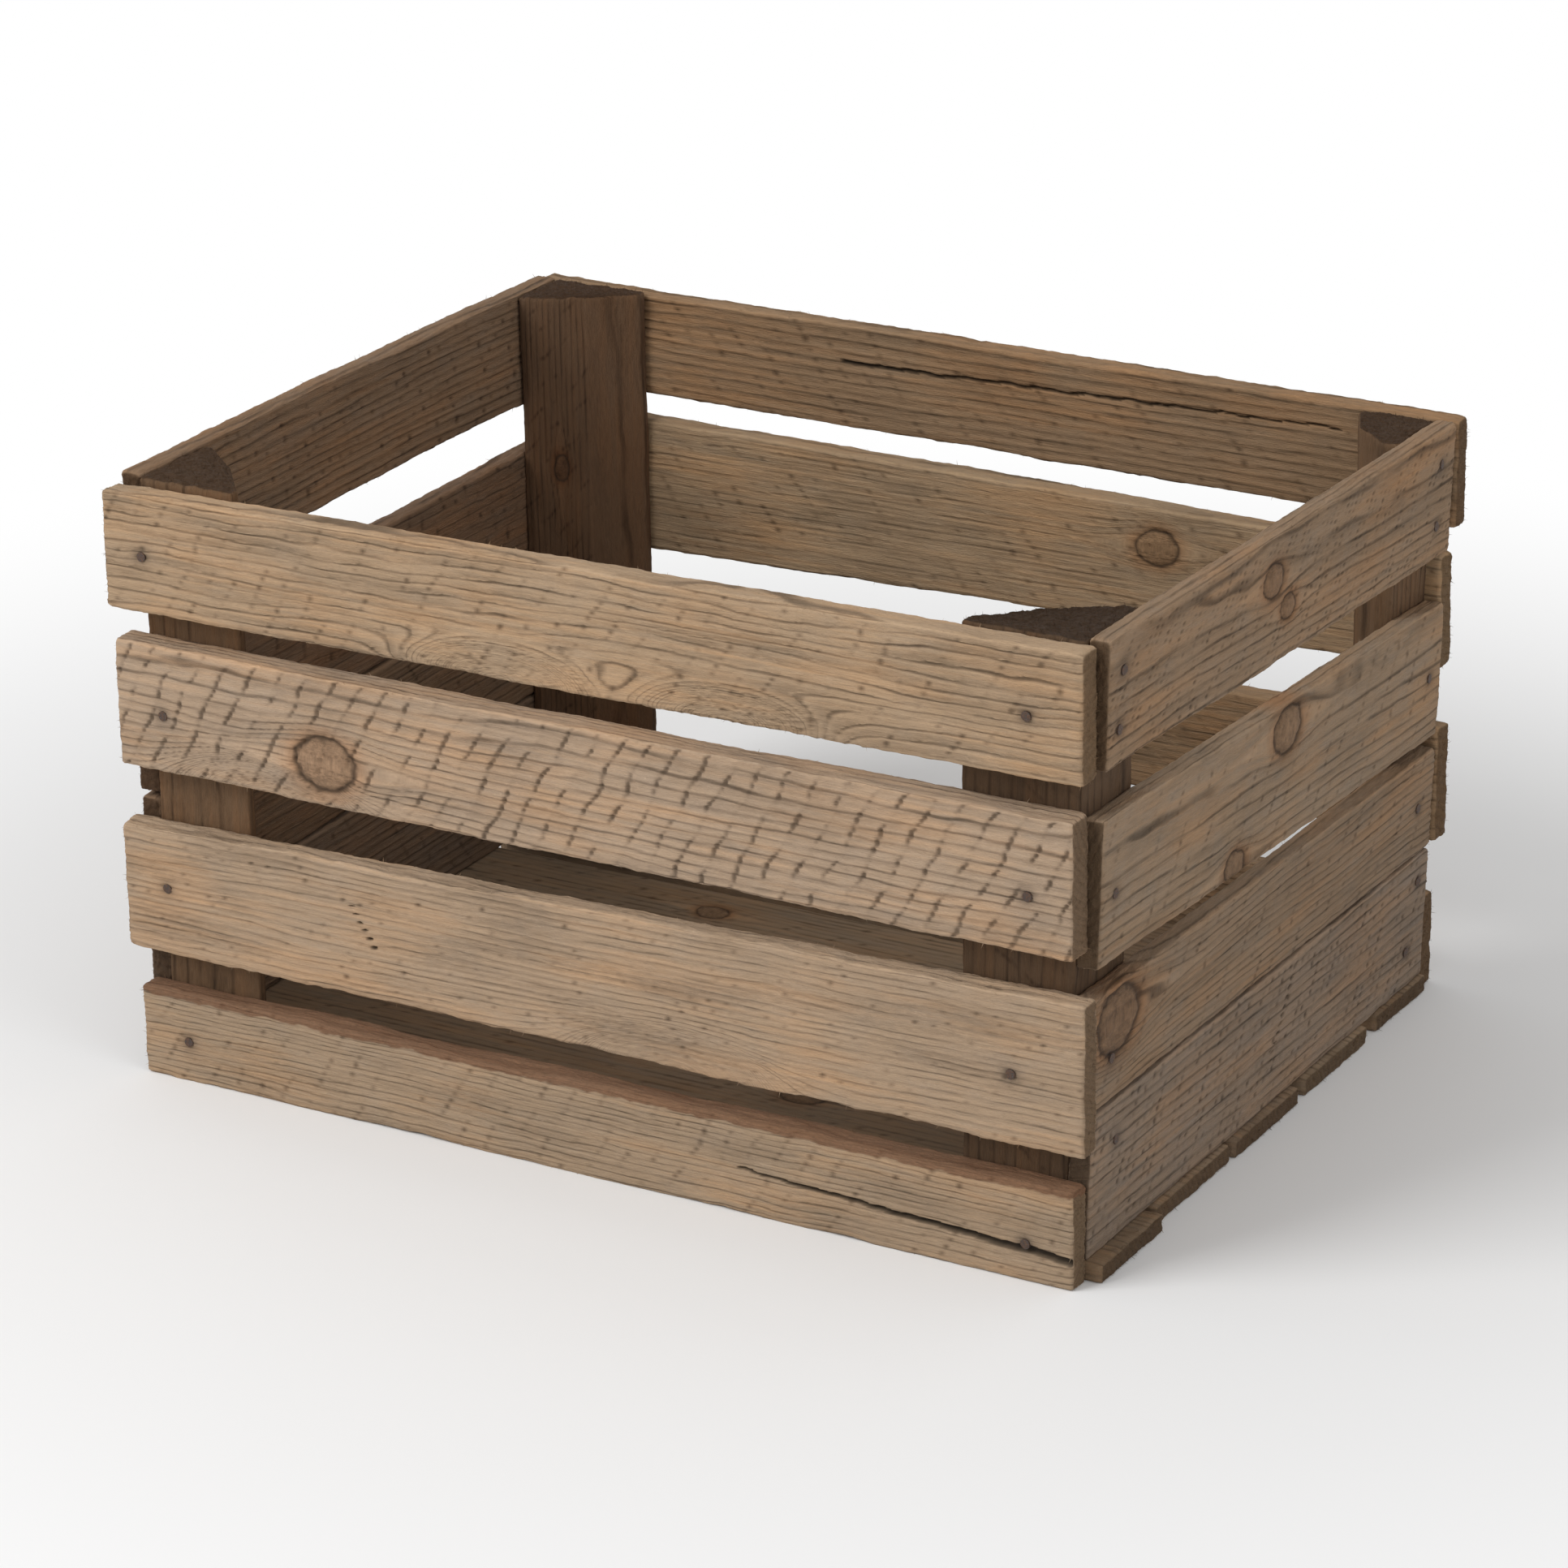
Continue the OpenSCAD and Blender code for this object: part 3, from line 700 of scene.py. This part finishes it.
frontSlats = {
    "front_slat_1": {
        "Tint": "#a98f73", "Seed": 1.0, "Ring Width": 4.3, "Pith Height": -62.0, "Pith Depth": 20.0,
        "Terrace": 0.85, "Terrace Break": 0.45, "Ring Warp": 5.0, "Whorl 1": (215.0, 0.0, 33.0),
        "Whorl 2": (330.0, 0.0, 24.0), "Nail 1": (22.0, 0.0, 27.9), "Nail 2": (475.5, 0.0, 27.4),
        "Corner": 2.0, "Edge Wander": 0.8, "Knot Lift": (0.4, 0.3, 0.3), "Rim Wear": 1.6, "Top Bow": 0.6},
    "front_slat_2": {
        "Tint": "#aa927a", "Seed": 2.0, "Ring Width": 3.4, "Pith Height": 40.0, "Pith Depth": 30.0,
        "Terrace": 0.35, "Saw Depth": 1.25, "Saw Spacing": 14.0, "Saw Tilt": 0.55, "Saw Break": 0.42,
        "Saw Line": 0.2, "Knot 1": (116.0, 20.5, 12.5), "Knot Lift": (0.9, 0.0, 0.0),
        "Whorl 1": (84.0, 0.0, 40.0), "Nail 1": (26.5, 0.0, 27.7), "Nail 2": (473.5, 0.0, 26.0),
        "Steps Along": 300, "Steps Up": 84, "Ridge": 0.16, "Edge Wander": 1.0},
    "front_slat_3": {
        "Tint": "#a68e75", "Seed": 3.0, "Ring Width": 3.2, "Pith Height": 120.0, "Pith Depth": 60.0,
        "Terrace": 0.4, "Terrace Break": 0.7, "Saw Depth": 0.35, "Saw Spacing": 9.0, "Saw Tilt": -0.5,
        "Saw Break": 0.6, "Ridge": 0.26, "Ridge Spacing": 2.9, "Fuzz": 0.34, "Lumps": 0.7,
        "Nail 1": (25.0, 0.0, 32.8), "Nail 2": (468.0, 0.0, 33.0), "Edge Wander": 1.3,
        "Whorl 1": (300.0, 0.0, 50.0), "Crack From": (128.0, 0.0, 46.0), "Crack To": (142.0, 0.0, 24.0),
        "Crack Width": 0.5},
    "front_slat_4": {
        "Tint": "#a28b72", "Seed": 4.0, "Ring Width": 2.6, "Pith Height": -40.0, "Pith Depth": 14.0,
        "Terrace": 0.3, "Ridge": 0.14, "Ridge Spacing": 2.2, "Bark": 1.0, "Edge Wander": 1.6,
        "Crack From": (326.0, 0.0, 22.0), "Crack To": (492.0, 0.0, 14.0), "Crack Width": 1.8,
        "Nail 1": (26.5, 0.0, 20.1), "Nail 2": (469.5, 0.0, 17.7), "Steps Up": 90},
}
for node, looks in frontSlats.items():
    makeLongSlat(node, looks)

# back slat tints: the same pine as the front, partly real tone and partly painted shade inside the crate;
# back_slat_2's lighter tint is partly painted light where the lamp reaches it
backSlats = {
    "back_slat_1": {"Tint": "#8d7358", "Seed": 5.0, "Pith Height": 90.0, "Fuzz": 0.3, "Ring Width": 5.0,
                    "Crack From": (60.0, 0.0, 40.0), "Crack To": (330.0, 0.0, 33.0), "Crack Width": 0.9},
    "back_slat_2": {"Tint": "#a2896c", "Seed": 6.0, "Pith Height": -80.0, "Ridge": 0.3,
                    "Knot 1": (150.0, 40.0, 9.0)},
    "back_slat_3": {"Tint": "#94795c", "Seed": 7.0, "Pith Height": -60.0, "Knot 1": (330.0, 20.0, 8.0)},
    "back_slat_4": {"Tint": "#8d745a", "Seed": 8.0, "Pith Height": 100.0, "Terrace": 0.35},
}
for node, looks in backSlats.items():
    makeLongSlat(node, dict({"Steps Along": 180, "Steps Up": 72, "Steps Deep": 16}, **looks))

# side slat tints: partly real tone, partly painted shade; the right slats a little darker as the side
# turned from the lamp, the left slats darker still as inner faces turned away from it
sideSlats = {
    "right_slat_1": {
        "Tint": "#8b735b", "Seed": 9.0, "Ring Width": 4.0, "Pith Height": 22.0, "Pith Depth": 26.0,
        "Knot 1": (160.0, 40.0, 8.0), "Knot 2": (176.0, 24.0, 6.0), "Knot Lift": (0.5, 0.4, 0.0),
        "Saw Depth": 0.35, "Saw Spacing": 5.0, "Saw Tilt": 0.7, "Saw Line": 0.35, "Rim Wear": 1.8,
        "Nail 1": (14.0, 0.0, 42.6), "Nail 2": (12.0, 0.0, 16.4), "Nail 3": (340.5, 0.0, 46.7),
        "Nail 4": (338.5, 0.0, 16.8)},
    "right_slat_2": {
        "Tint": "#8e7861", "Seed": 10.0, "Ring Width": 4.4, "Pith Height": 30.0, "Pith Depth": 30.0,
        "Knot 1": (183.0, 55.0, 11.0), "Knot 2": (134.0, 4.0, 8.0), "Knot Lift": (0.7, -0.6, 0.0),
        "Nail 1": (14.5, 0.0, 31.7), "Nail 2": (342.0, 0.0, 32.0)},
    "right_slat_3": {
        "Tint": "#86705a", "Seed": 11.0, "Ring Width": 3.4, "Pith Height": 70.0,
        "Knot 1": (23.0, 36.0, 15.0), "Knot Lift": (-0.5, 0.0, 0.0), "Ridge": 0.2,
        "Nail 1": (17.5, 0.0, 20.0), "Nail 2": (338.5, 0.0, 24.3)},
    "right_slat_4": {
        "Tint": "#857260", "Seed": 12.0, "Ring Width": 5.0, "Pith Height": 110.0, "Saw Depth": 0.45,
        "Saw Spacing": 7.0, "Saw Tilt": 0.5, "Saw Line": 0.3, "Nail 1": (25.0, 0.0, 49.0),
        "Nail 2": (344.0, 0.0, 53.0), "Nail 3": (334.5, 0.0, 19.4),
        "Crack From": (180.0, 0.0, 18.0), "Crack To": (205.0, 0.0, 62.0), "Crack Width": 0.6},
    "left_slat_1": {"Tint": "#806750", "Seed": 13.0, "Bulge": 2.5, "Saw Depth": 0.5, "Saw Spacing": 8.0,
                    "Saw Tilt": 0.3, "Pith Height": 80.0, "Rim Wear": 1.6},
    "left_slat_2": {"Tint": "#755c47", "Seed": 14.0, "Saw Depth": 0.6, "Saw Spacing": 10.0, "Saw Tilt": 0.2,
                    "Knot 1": (200.0, 30.0, 8.0)},
    "left_slat_3": {"Tint": "#7a624c", "Seed": 15.0, "Pith Height": -50.0, "Ridge": 0.2},
    "left_slat_4": {"Tint": "#786350", "Seed": 16.0, "Pith Height": 110.0},
}
for node, looks in sideSlats.items():
    makeSideSlat(node, dict({"Steps Along": 165, "Steps Up": 90, "Steps Deep": 18}, **looks))

# floor board tints: partly real tone, partly painted shade of the crate's inside
floorBoards = {
    "bottom_board_1": {"Tint": "#7d6852", "Seed": 17.0},
    "bottom_board_2": {"Tint": "#8a745d", "Seed": 18.0, "Knot 1": (300.0, 30.0, 9.0)},
    "bottom_board_3": {"Tint": "#836d57", "Seed": 19.0, "Pith Height": 90.0},
    "bottom_board_4": {"Tint": "#8b765f", "Seed": 20.0, "Knot 1": (150.0, 45.0, 7.0)},
    "bottom_board_5": {"Tint": "#7f6a54", "Seed": 21.0, "Pith Height": 80.0},
}
for node, looks in floorBoards.items():
    low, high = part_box(node)
    size = ((high.x - low.x) / mm, (high.z - low.z) / mm)
    ends = [(0.0, (high.y - low.y) / mm)] * 2
    looks = dict({"Steps Along": 150, "Steps Up": 52, "Steps Deep": 10, "Terrace": 0.2, "Fuzz": 0.12,
                  "Corner": 1.4, "Ridge": 0.06, "Lumps": 0.25, "Rim Wear": 0.3}, **looks)
    place = (low.x, low.y, (low.z + high.z) / 2)
    makeBoard(node, "floor_wood", looks, place, (-quarterTurn, 0.0, 0.0), size, ends)

# Posts: legs seen from the corner, quarter turns from the front left one, and the leaning sides
lean = walls["rightLean"]
# post tints: the same pine, set far darker partly as painted shade of posts standing in shade between the
# slats; post_front_right darkest
posts = {
    "post_front_left": {"Tint": "#6a523c", "Seed": 22.0, "legs": (52.0, 52.0), "turns": 0},
    "post_front_right": {"Tint": "#5a4634", "Seed": 23.0, "legs": (48.0, 49.0), "turns": 1},
    "post_back_right": {"Tint": "#654e39", "Seed": 24.0, "legs": (27.0, 42.0), "turns": 2},
    "post_back_left": {"Tint": "#654d39", "Seed": 25.0, "legs": (37.0, 52.0), "turns": 3,
                       "Knot 1": (196.0, 30.0, 6.0)},
}
seats = {"left": -0.241, "right": 0.2323, "front": -0.1775, "back": 0.179}
for node, looks in posts.items():
    low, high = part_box(node)
    looks = dict(looks)
    thickness, leg = looks.pop("legs")
    turns = looks.pop("turns")
    upright = (high.z - low.z) / mm
    ends = [(0.0, leg), (-lean * upright if turns == 1 else 0.0, leg)]
    looks = dict({"Triangle": 1.0, "Steps Along": 150, "Steps Up": 50, "Steps Deep": 50, "Terrace": 0.25,
                  "End Tear": 2.2, "Wall Slope": lean if turns == 2 else 0.0}, **looks)
    cornerX = seats["left"] if turns in (0, 3) else seats["right"]
    cornerY = seats["front"] if turns < 2 else seats["back"]
    inward = [(1, 0), (0, 1), (-1, 0), (0, -1)][turns]
    half = thickness * mm / 2
    place = (cornerX + inward[0] * half, cornerY + inward[1] * half, low.z)
    turn = (-quarterTurn, -quarterTurn, turns * quarterTurn)
    makeBoard(node, "post_wood", looks, place, turn, (upright, thickness), ends)


def buildNailTree():
    tree = bpy.data.node_groups.new("hammeredNails", "GeometryNodeTree")
    addSocket(tree, "Geometry", "NodeSocketGeometry")
    addSocket(tree, "Geometry", "NodeSocketGeometry", output=True)
    for name, value in {"Head Radius": 0.0023, "Head Height": 0.0009, "Shank Radius": 0.0011,
                        "Shank Length": 0.026, "Dent": 0.0003}.items():
        addSocket(tree, name, floatKind, value)
    addSocket(tree, "Turn", vectorKind, (0.0, 0.0, 0.0))
    addSocket(tree, "Seed", "NodeSocketInt", 1)
    addSocket(tree, "Material", "NodeSocketMaterial")
    s = Sketch(tree)
    given = s.node("NodeGroupInput")

    def ask(name):
        return Wire(s, given.outputs[name])

    head = s.node("GeometryNodeMeshCylinder")
    head.inputs["Vertices"].default_value = 18
    head.inputs["Side Segments"].default_value = 2
    head.inputs["Fill Segments"].default_value = 4
    s.plug(head.inputs["Radius"], ask("Head Radius"))
    s.plug(head.inputs["Depth"], ask("Head Height") * 2.0)
    x, y, z = s.split(s.wire(s.node("GeometryNodeInputPosition")))
    out = s.calc("SQRT", x * x + y * y) / ask("Head Radius")
    dents = s.noise(s.vector(x * 700.0, y * 700.0, z * 300.0 + 4.0), 2.0, 0.6)
    squeeze = 1.0 + s.noise(s.vector(x * 300.0, y * 300.0, 9.0), 1.0) * 0.07
    dome = (1.0 - out * out * 0.7) * s.share(z * 5000.0)
    shape = s.node("GeometryNodeSetPosition")
    s.plug(shape.inputs["Geometry"], s.wire(head))
    lifted = z + (dome * 0.5 + dents * 0.6) * ask("Dent") - ask("Head Height")
    s.plug(shape.inputs["Position"], s.vector(x * squeeze, y * squeeze, lifted))
    shank = s.node("GeometryNodeMeshCylinder")
    shank.inputs["Vertices"].default_value = 10
    s.plug(shank.inputs["Radius"], ask("Shank Radius"))
    s.plug(shank.inputs["Depth"], ask("Shank Length"))
    sink = s.node("GeometryNodeTransform")
    s.plug(sink.inputs["Geometry"], s.wire(shank))
    s.plug(sink.inputs["Translation"], s.vector(0.0, 0.0, -ask("Shank Length") * 0.5 - ask("Head Height")))
    nail = s.node("GeometryNodeJoinGeometry")
    s.plug(nail.inputs[0], s.wire(shape))
    s.plug(nail.inputs[0], s.wire(sink))
    spin = s.node("FunctionNodeRandomValue", data_type="FLOAT_VECTOR")
    spin.inputs["Min"].default_value = (-0.09, -0.09, -3.1)
    spin.inputs["Max"].default_value = (0.09, 0.09, 3.1)
    s.plug(spin.inputs["Seed"], ask("Seed"))
    points = s.node("GeometryNodeMeshToPoints")
    s.plug(points.inputs["Mesh"], ask("Geometry"))
    each = s.node("GeometryNodeInstanceOnPoints")
    s.plug(each.inputs["Points"], s.wire(points))
    s.plug(each.inputs["Instance"], s.wire(nail))
    s.plug(each.inputs["Rotation"], ask("Turn"))
    spun = s.node("GeometryNodeRotateInstances")
    s.plug(spun.inputs["Instances"], s.wire(each))
    s.plug(spun.inputs["Rotation"], s.wire(spin))
    real = s.node("GeometryNodeRealizeInstances")
    s.plug(real.inputs["Geometry"], s.wire(spun))
    paint = s.node("GeometryNodeSetMaterial")
    s.plug(paint.inputs["Geometry"], s.wire(real))
    s.plug(paint.inputs["Material"], ask("Material"))
    end = s.node("NodeGroupOutput")
    s.plug(end.inputs[0], s.wire(paint))
    return tree


def makeIron():
    material = bpy.data.materials.new("rustyIron")
    material.use_nodes = True
    s = Sketch(material.node_tree)
    shader = material.node_tree.nodes["Principled BSDF"]
    where = s.scaled(s.wire(s.node("ShaderNodeTexCoord"), "Object"), 1.0 / mm)
    rust = s.noise(where, 3.0, 0.7)
    colour = mixColour(s, (0.055, 0.043, 0.038), (0.15, 0.072, 0.036), s.share(rust * 0.8 + 0.3))
    colour = mixColour(s, colour, (0.24, 0.23, 0.22), s.share(rust * -1.2 - 0.5))
    bump = s.node("ShaderNodeBump")
    bump.inputs["Strength"].default_value = 0.6
    bump.inputs["Distance"].default_value = 0.0002
    s.plug(bump.inputs["Height"], rust)
    s.plug(shader.inputs["Base Color"], colour)
    s.plug(shader.inputs["Roughness"], s.share(0.62 + rust * 0.15))
    s.plug(shader.inputs["Normal"], s.wire(bump))
    shader.inputs["Metallic"].default_value = 0.4
    return material


nailTree = buildNailTree()
nailSockets = {item.name: item.identifier for item in nailTree.interface.items_tree
               if item.in_out == "INPUT"}
iron = makeIron()

# Nails: which way each group's heads face, and the turn that brings a head there
nailGroups = {
    "front_nails": {"axis": 1, "side": -1, "Turn": (quarterTurn, 0.0, 0.0)},
    "back_nails": {"axis": 1, "side": 1, "Turn": (-quarterTurn, 0.0, 0.0)},
    "left_nails": {"axis": 0, "side": -1, "Turn": (0.0, -quarterTurn, 0.0)},
    "right_nails": {"axis": 0, "side": 1, "Turn": (0.0, quarterTurn, 0.0)},
    "bottom_nails": {"axis": 2, "side": -1, "Turn": (math.pi, 0.0, 0.0)},
}
nailReach = 0.006


def nailPlaces(node, axis, side):
    # the middle of every head in a CAD group of nails
    clusters = []
    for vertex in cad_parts[node].data.vertices:
        flat = vertex.co.copy()
        flat[axis] = 0.0
        for cluster in clusters:
            if (cluster[0] - flat).length < nailReach:
                cluster[1].append(vertex.co.copy())
                break
        else:
            clusters.append((flat, [vertex.co.copy()]))
    places = []
    for _, points in clusters:
        middle = Vector([(min(p[i] for p in points) + max(p[i] for p in points)) / 2 for i in range(3)])
        middle[axis] = max(p[axis] * side for p in points) * side
        places.append(middle)
    return places


for index, (node, group) in enumerate(nailGroups.items()):
    places = nailPlaces(node, group["axis"], group["side"])
    mesh = bpy.data.meshes.new(node + "Points")
    mesh.from_pydata([tuple(p) for p in places], [], [])
    holder = bpy.data.objects.new(node + "Points", mesh)
    bpy.context.scene.collection.objects.link(holder)
    modifier = holder.modifiers.new("nails", "NODES")
    modifier.node_group = nailTree
    modifier[nailSockets["Turn"]] = group["Turn"]
    modifier[nailSockets["Seed"]] = index + 3
    modifier[nailSockets["Material"]] = iron
    graph = bpy.context.evaluated_depsgraph_get()
    result = bpy.data.meshes.new_from_object(holder.evaluated_get(graph))
    bpy.data.objects.remove(holder)
    piece = bpy.data.objects.new(node + "_iron", result)
    bpy.context.scene.collection.objects.link(piece)
    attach(piece, "root")
    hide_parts(node)
    print(node, len(places), "nails")


# Pale floor that fades into the white round it and keeps the crate's soft shadow
floorLooks = {"size": 8.0, "colour": 0.86, "fadeFrom": 0.42, "fadeTo": 0.95}
bpy.ops.mesh.primitive_plane_add(size=floorLooks["size"], location=(0, 0, 0))
floor = bpy.context.object
floor.name = "paleFloor"
floorMaterial = bpy.data.materials.new("paleFloor")
floorMaterial.use_nodes = True
s = Sketch(floorMaterial.node_tree)
nodes = floorMaterial.node_tree.nodes
matte = s.node("ShaderNodeBsdfDiffuse")
matte.inputs["Color"].default_value = (floorLooks["colour"],) * 3 + (1.0,)
glow = s.node("ShaderNodeEmission")
x, y, z = s.split(s.wire(s.node("ShaderNodeTexCoord"), "Object"))
away = s.between(floorLooks["fadeFrom"], floorLooks["fadeTo"], s.calc("SQRT", x * x + y * y))
seen = s.wire(s.node("ShaderNodeLightPath"), "Is Camera Ray")
blendNode = s.node("ShaderNodeMixShader")
s.plug(blendNode.inputs[0], away * seen)
s.plug(blendNode.inputs[1], s.wire(matte))
s.plug(blendNode.inputs[2], s.wire(glow))
s.plug(nodes["Material Output"].inputs["Surface"], s.wire(blendNode))
floor.data.materials.append(floorMaterial)

# Soft even light all round, with a large lamp at the upper left front
lights = {
    "worldStrength": 0.62,
    "key": {"place": (-1.5, -2.2, 2.3), "size": 1.7, "watts": 62.0},
    "fill": {"place": (2.6, -0.6, 1.5), "size": 1.8, "watts": 14.0},
}
world = bpy.data.worlds.new("softRoom")
bpy.context.scene.world = world
world.use_nodes = True
s = Sketch(world.node_tree)
background = world.node_tree.nodes["Background"]
path = s.node("ShaderNodeLightPath")
mirrored = s.wire(path, "Is Glossy Ray") + s.wire(path, "Is Transmission Ray")
shown = s.share(s.wire(path, "Is Camera Ray") + mirrored)
strength = shown * (1.0 - lights["worldStrength"]) + lights["worldStrength"]
s.plug(background.inputs["Strength"], strength)
background.inputs["Color"].default_value = (1.0, 1.0, 1.0, 1.0)
for name in ("key", "fill"):
    lamp = bpy.data.lights.new(name, "AREA")
    lamp.size = lights[name]["size"]
    lamp.energy = lights[name]["watts"]
    holder = bpy.data.objects.new(name, lamp)
    bpy.context.scene.collection.objects.link(holder)
    holder.location = lights[name]["place"]
    aim = Vector((0, 0, 0.15)) - holder.location
    holder.rotation_euler = aim.to_track_quat("-Z", "Y").to_euler()

# Camera, turned as the picture was taken
azimuth = math.radians(camera["azimuth"])
elevation = math.radians(camera["elevation"])
roll = math.radians(camera["roll"])
back = Vector((math.sin(azimuth) * math.cos(elevation), -math.cos(azimuth) * math.cos(elevation),
               math.sin(elevation)))
right = (-back).cross(Vector((0, 0, 1))).normalized()
up = right.cross(-back)
rolledRight = right * math.cos(roll) + up * math.sin(roll)
rolledUp = up * math.cos(roll) - right * math.sin(roll)
cameraData = bpy.data.cameras.new("camera")
cameraData.sensor_width = camera["sensorWidth"]
cameraData.lens = camera["focalPixels"] / camera["imageSize"] * camera["sensorWidth"]
cameraObject = bpy.data.objects.new("camera", cameraData)
bpy.context.scene.collection.objects.link(cameraObject)
turned = Matrix((rolledRight, rolledUp, back)).transposed().to_4x4()
cameraObject.matrix_world = Matrix.Translation(camera["place"]) @ turned
bpy.context.scene.camera = cameraObject
bpy.context.scene.view_settings.view_transform = "Standard"
